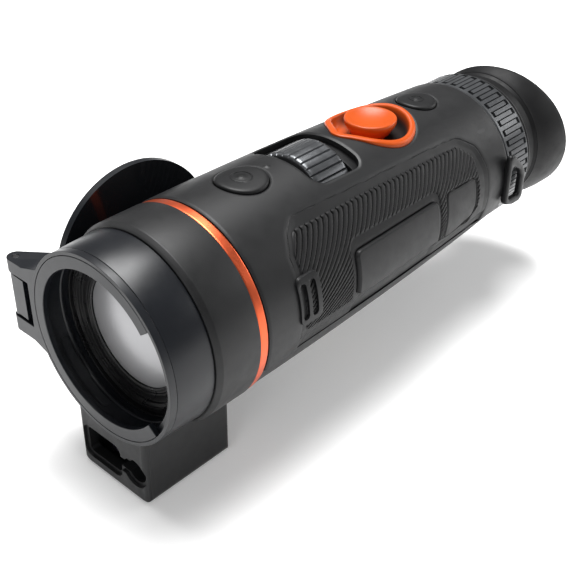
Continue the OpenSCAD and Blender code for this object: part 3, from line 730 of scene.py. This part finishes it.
def flush_button(name, y0, r, flange_z, body, node_name, icon_r):
    """A button whose face follows the barrel, with a plain raised ring as its mark."""
    a = np.linspace(0, 2 * math.pi, 128, endpoint=False)
    rings = []
    for rr in (0.05, r - 0.4, r - 0.02):
        rings.append([(rr * math.cos(v), y0 + rr * math.sin(v), flange_z) for v in a])
    steps = [(r, -0.75), (r, -0.05), (r - 0.06, 0.18), (r - 0.22, 0.38), (r - 0.5, 0.52), (r - 0.9, 0.58)]
    steps += [(q, 0.60) for q in np.linspace(r - 1.4, icon_r + 0.6, 4)]
    steps += [(icon_r + 0.30, 0.58), (icon_r + 0.16, 0.74), (icon_r - 0.16, 0.74), (icon_r - 0.30, 0.56)]
    steps += [(1.0, 0.54), (0.75, 0.70), (0.5, 0.72), (0.05, 0.72)]
    for rr, h in steps:
        ring = []
        for v in a:
            x, y = rr * math.cos(v), y0 + rr * math.sin(v)
            ring.append((x, y, math.sqrt((body_r(y) + h) ** 2 - x * x)))
        rings.append(ring)
    build(name, *lofted(rings), body, "button_rubber", (node_name,), smooth=50)


flush_button("front_button_look", BUTTON_Y, BUTTON_R, 25.0, "button_front", "front_button", 3.0)
flush_button("power_button_look", POWER_Y, POWER_R, 22.6, "button_power", "power_button", 2.2)


def focus_wheel():
    """The ribbed wheel, with its two rims eased off."""
    ribs, per, r, z0 = 36, 14, 14.3, 15.8
    rings = []
    for y, inset in ((73.0, 1.3), (73.12, 0.75), (73.45, 0.3), (74.0, 0.05), (74.6, 0.0), (85.8, 0.0),
                     (86.4, 0.05), (86.95, 0.3), (87.28, 0.75), (87.4, 1.3)):
        ring = []
        for k in range(ribs * per):
            f = (k / per) % 1.0
            dip = float(ease((abs(f - 0.5) * 2 - 0.74) / 0.20))
            rr = min(r - 0.65 * dip - 0.05 * (1 - dip) * abs(f - 0.5) * 2, r - inset)
            t = 2 * math.pi * k / (ribs * per)
            ring.append((rr * math.cos(t), y, z0 + rr * math.sin(t)))
        rings.append(ring)
    build("focus_wheel_look", *lofted(rings), "focus", "wheel_metal", ("focus_wheel",), smooth=45)


focus_wheel()

DIOPTRE_LANDS, DIOPTRE_R = 88, 25.8


def dioptre_shift(t, r, y):
    """Flat-topped ribs, every other one shortened at its front or its rear end."""
    if r < 24.6:
        return r, y
    f = t / (2 * math.pi) * DIOPTRE_LANDS
    rib, f = int(math.floor(f)), f - math.floor(f)
    groove = float(ease((abs(f - 0.5) * 2 - 0.78) / 0.17))
    run = float(ease((y - 156.7) / 0.3) * ease((167.6 - y) / 0.3))
    depth = 1.10 * groove * run
    if rib % 2 == 0:
        depth = max(depth, 1.70 * float(ease((158.1 - y) / 0.25) * ease((y - 156.7) / 0.25)))
    else:
        depth = max(depth, 1.70 * float(ease((y - 166.2) / 0.25) * ease((167.6 - y) / 0.25)))
    return r - depth, y


dioptre_profile = [(19.25, 155.15), (24.5, 155.15), (25.3, 155.25), (25.6, 155.6)]
for part in ((155.8, 156.5, 2), (156.7, 158.5, 10), (159.3, 165.0, 4), (165.8, 167.8, 11)):
    dioptre_profile += [(DIOPTRE_R, float(v)) for v in np.linspace(*part)]
dioptre_profile += [(25.6, 168.2), (25.3, 168.5), (24.5, 168.65), (19.25, 168.65)]
build("dioptre_ring_look", *turned(dioptre_profile, DIOPTRE_LANDS * 18, dioptre_shift),
      "dioptre", "ring_metal", ("dioptre_ring",), smooth=40)

CUP_ROOT_Y, CUP_TOP_Y, CUP_R = 178.0, 191.0, 26.1
RIM_Y, LEAN_X, LEAN_Z = 188.8, 0.20, 0.22
CUP_FLARE_Y = (176.5, 178.8, 181.5, 185.0, 189.5, 200.0)
CUP_FLARE_R = (22.8, 23.8, 24.7, 25.5, 26.1, 26.4)


def cup_shift(t, r, y):
    """Draws the cup out to its slanting rim, on a flare that depends on how far back a point ends up."""
    if y < CUP_ROOT_Y:
        return r, y
    rim = RIM_Y + LEAN_X * r * math.cos(t) - LEAN_Z * r * math.sin(t)
    y = CUP_ROOT_Y + (rim - CUP_ROOT_Y) * (y - CUP_ROOT_Y) / (CUP_TOP_Y - CUP_ROOT_Y)
    return float(np.interp(y, CUP_FLARE_Y, CUP_FLARE_R)) - (CUP_R - r), y


cup_neck = [(23.2, 172.4, 0.3), (22.85, 175.3, 0.4), (22.75, 176.6, 0.3), (23.4, 177.9, 0.4)]
cup_outside = [(CUP_R, y, 0) for y in (178.6, 180.5, 182.5, 184.5, 186.5, 188.5)]
cup_rim = [(CUP_R, CUP_TOP_Y, 0.7), (24.45, CUP_TOP_Y, 0.7)]
cup_inside = [(24.45, 188.0, 0), (24.45, 185.0, 0), (24.4, 182.0, 0), (24.3, 180.0, 0.2), (22.4, 177.95, 0.3),
              (19.9, 177.3, 1), (19.26, 177.25, 0.1), (19.26, 172.4, 0)]
cup_profile = rounded(cup_neck + cup_outside + cup_rim + cup_inside, 0.3, 5)
build("eyecup_look", *turned(cup_profile, 224, cup_shift), "eyeshade", "eyecup_rubber", ("eyecup",),
      smooth=50)

# The retainer in front of the lens: bright thin steps with black hollows between them
retainer = [(25.1, 9.6), (25.1, 12.1), (17.4, 12.1), (17.4, 11.75), (17.75, 11.6), (17.95, 11.95),
            (18.6, 11.85), (18.8, 11.25), (19.25, 11.2), (19.45, 11.7), (21.2, 11.5), (21.4, 10.75),
            (22.3, 10.55), (22.45, 10.0), (22.95, 9.95), (23.1, 10.9), (24.3, 10.8), (24.45, 9.65),
            (24.8, 9.6)]
build("lens_retainer_look", *turned(rounded(retainer, 0.09, 3), 256), "housing", "black_anodised",
      ("lens_retainer",), smooth=35)


def turned_node(name, profile, radius):
    """Stands for a turned CAD node, with its corners eased."""
    build(name + "_look", *turned(rounded(profile, radius, 4), 224), BODY_OF[name], SLOT_OF[name], (name,),
          smooth=35)


SLEEVE_R, COLLAR_R, MOUTH_R, POCKET_R, BORE_R = 28.8, 30.2, 28.4, 25.2, 21.2
turned_node("objective_barrel", [(MOUTH_R, 2.3), (28.62, 8.0, 0), (SLEEVE_R, 14.8), (27.6, 14.8, 0),
                                 (27.6, 30.5), (BORE_R, 30.5), (BORE_R, 12.2), (POCKET_R, 12.2),
                                 (POCKET_R, 8.2), (24.85, 7.9), (24.85, 7.2), (POCKET_R, 6.9),
                                 (POCKET_R, 2.3)], 0.14)
turned_node("front_collar", [(27.75, 14.95), (29.25, 14.95, 0.12), (29.6, 15.5, 0.5), (COLLAR_R, 16.6, 0.9),
                             (COLLAR_R, 30.5, 0.25), (27.75, 30.5)], 0.1)
turned_node("accent_band", [(27.75, 30.62), (29.9, 30.62), (30.0, 31.0, 0.3), (30.0, 33.1, 0.3),
                            (29.9, 33.45), (27.75, 33.45)], 0.12)
turned_node("eyecup_collar", [(19.26, 169.05), (24.3, 169.05, 0.35), (24.3, 170.3, 0.1), (24.0, 170.45, 0.1),
                              (24.0, 170.75, 0.1), (24.3, 170.9, 0.1), (24.3, 171.4, 0.5), (23.4, 172.3, 0.2),
                              (19.26, 172.3)], 0.1)


def wall_panel(name, t0, t1, y0, y1, low, high, body, slot):
    """A shallow raised panel on the inside wall of the mouth, between two angles."""
    degree = math.radians(1) * POCKET_R
    outline = rounded_box(t0 * degree, y0, t1 * degree, y1, 1.2, 0.4)
    centre = np.mean(np.array(outline), axis=0)
    reach = max(1.6, min(y1 - y0, 3.0))
    rings = []
    for inset, h in ((0.0, low), (0.0, high - 0.12), (0.1, high - 0.03), (0.25, high), (1.2, high)):
        ring = []
        for s, y in outline:
            away = np.array([s, y]) - centre
            s2, y2 = centre + away * (1 - inset / reach)
            a = s2 / POCKET_R
            ring.append(((POCKET_R - h) * math.cos(a), y2, (POCKET_R - h) * math.sin(a)))
        rings.append(ring)
    build(name, *lofted(rings), body, slot, smooth=50)


wall_panel("mouth_tab", 203, 258, 3.6, 6.6, -0.2, 0.28, "housing", "anodised_barrel")

LOOP_OUTER = ((151.5, -7.6), (151.5, 10.6), (154.2, 10.2), (160.2, 4.4), (162.4, 1), (162.4, -8.2),
              (161, -9.6), (156.5, -9.3))
LOOP_HOLE = ((153.3, 6.8), (158.4, 3.4), (159.9, 0.8), (159.9, -6.6), (153.3, -6.6))
SQUARENESS = 0.62    # 1 gives a round bar, 0 a square one


def strap_loop(name, slot):
    """A strap loop with a rounded bar, swept round the middle of its opening."""
    xs = [v.co.x / MM for v in frame["nodes"][name].data.vertices]
    middle, half = (min(xs) + max(xs)) / 2, (max(xs) - min(xs)) / 2 - 0.02
    centre = np.array([156.2, -0.6])

    def reach(corners, radius, angles):
        edge = np.array(resampled(rounded([(*c, radius) for c in corners], radius, 8), 0.1)) - centre
        turn = np.arctan2(edge[:, 1], edge[:, 0])
        order = np.argsort(turn)
        return np.interp(angles, turn[order], np.hypot(*edge[order].T), period=2 * math.pi)

    angles = np.linspace(-math.pi, math.pi, 128, endpoint=False)
    outer, inner = reach(LOOP_OUTER, 1.8, angles), reach(LOOP_HOLE, 1.4, angles)
    rings = []
    for k in range(20):
        p = 2 * math.pi * k / 20
        c, s = math.cos(p), math.sin(p)
        wide, thick = math.copysign(abs(c) ** SQUARENESS, c), math.copysign(abs(s) ** SQUARENESS, s)
        rho = (outer + inner) / 2 + (outer - inner) / 2 * wide
        rings.append([(middle + half * thick, centre[0] + q * math.cos(a), centre[1] + q * math.sin(a))
                      for q, a in zip(rho, angles)])
    build(name + "_look", *looped(rings), "housing", slot, (name,), smooth=60)


for label in ("right", "left"):
    strap_loop(f"strap_loop_{label}", SLOT_OF[f"strap_loop_{label}"])

# CAD nodes shown with their sharp edges broken by this much
EDGE_BREAKS = {
    "cap_ring": 0.28, "cap_flange": 0.25, "lens_cap": 0.22, "cap_liner": 0.15, "lrf_housing": 0.25,
    "lrf_base": 0.25, "bottom_shell": 0.25, "strap_lug_right": 0.30, "strap_lug_left": 0.30,
    "wheel_surround": 0.25, "usb_cover": 0.15, "tripod_insert": 0.12, "hinge_pin": 0.12, "lrf_screws": 0.08,
    "shell_screws": 0.08,
}
for name, width in EDGE_BREAKS.items():
    softened(name, width)


def trimmed(node_name, r_corner, r_end):
    """Rounds a boxy part's lower corners and two ends by keeping what lies inside a rounded block."""
    low, high = ([v / MM for v in corner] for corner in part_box(node_name))
    steps = ((0.0, 1.0), (0.12, 0.55), (0.4, 0.2), (1.0, 0.0))
    stations = [(low[1] + r_end * u, r_end * v) for u, v in steps]
    stations += [(high[1] - r_end * u, r_end * v) for u, v in reversed(steps)]
    rings = []
    for y, inset in stations:
        left, right, under, over = low[0] + inset, high[0] - inset, low[2] + inset, high[2] + 3
        corners = [(left, under, r_corner), (right, under, r_corner), (right, over, 0.5), (left, over, 0.5)]
        rings.append([(x, y, z) for x, z in resampled(rounded(corners, 1, 8), 0.6, 200)])
    obj = bpy.data.objects[node_name + "_look"]
    cut(obj, lofted(rings), mode="INTERSECT")
    settle(obj, "housing", SLOT_OF[node_name], (node_name,), 35)


trimmed("lrf_housing", 2.6, 1.1)

# The cap: its two flat faces are glossy, and its rim, arm and knuckle are satin
CAP_OPEN = math.radians(88.3)
SAME_WAY = 0.985
cap = bpy.data.objects["lens_cap_look"]
cap.data.materials.append(FINISH["anodised_barrel"])
cap_axis = Vector((-math.sin(CAP_OPEN), math.cos(CAP_OPEN), 0))
for face in cap.data.polygons:
    if abs(face.normal.dot(cap_axis)) < SAME_WAY:
        face.material_index = 1


# ---------------------------------------------------------------- floor and light

FLOOR_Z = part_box("lrf_housing")[0].z - 0.0002
FLOOR_HALF = 15.0


def make_floor():
    """A plain white sheet under the rangefinder block, glowing faintly so that its shadows stay soft."""
    mesh = bpy.data.meshes.new("floor")
    s = FLOOR_HALF
    corners = [(-s, -s, FLOOR_Z), (s, -s, FLOOR_Z), (s, s, FLOOR_Z), (-s, s, FLOOR_Z)]
    mesh.from_pydata(corners, [], [(0, 1, 2, 3)])
    floor = bpy.data.objects.new("floor", mesh)
    bpy.context.collection.objects.link(floor)
    mat = bpy.data.materials.new("floor_paper")
    mat.use_nodes = True
    tree = mat.node_tree
    shader = tree.nodes["Principled BSDF"]
    shader.inputs["Roughness"].default_value = 0.9
    shader.inputs["Specular IOR Level"].default_value = 0.1
    shader.inputs["Base Color"].default_value = (0.93, 0.93, 0.93, 1)
    shader.inputs["Emission Color"].default_value = (1, 1, 1, 1)
    shader.inputs["Emission Strength"].default_value = 0.2
    mesh.materials.append(mat)


make_floor()


def area_light(name, place, target, size, power):
    """A rectangular white lamp, in watts, that faces its target."""
    data = bpy.data.lights.new(name, "AREA")
    data.shape = "RECTANGLE"
    data.size, data.size_y = size
    data.energy = power
    lamp = bpy.data.objects.new(name, data)
    lamp.location = place
    away = Vector(place) - Vector(target)
    lamp.rotation_euler = away.to_track_quat("Z", "Y").to_euler()
    bpy.context.collection.objects.link(lamp)


MIDDLE = (0.0, 0.08, 0.0)
area_light("sky", (-0.28, 0.36, 1.5), MIDDLE, (0.75, 1.1), 46.0)
area_light("key_left", (-1.1, -0.1, 0.85), MIDDLE, (0.5, 1.0), 2.0)
area_light("front_fill", (0.45, -1.2, 0.75), (0.0, 0.0, 0.0), (0.6, 0.6), 4.0)
area_light("back_rim", (0.5, 1.3, 0.5), MIDDLE, (0.9, 0.4), 5.0)

world = bpy.data.worlds.new("studio")
bpy.context.scene.world = world
world.use_nodes = True
world.node_tree.nodes["Background"].inputs["Color"].default_value = (1, 1, 1, 1)
world.node_tree.nodes["Background"].inputs["Strength"].default_value = 0.20
bpy.context.scene.view_settings.view_transform = "Standard"
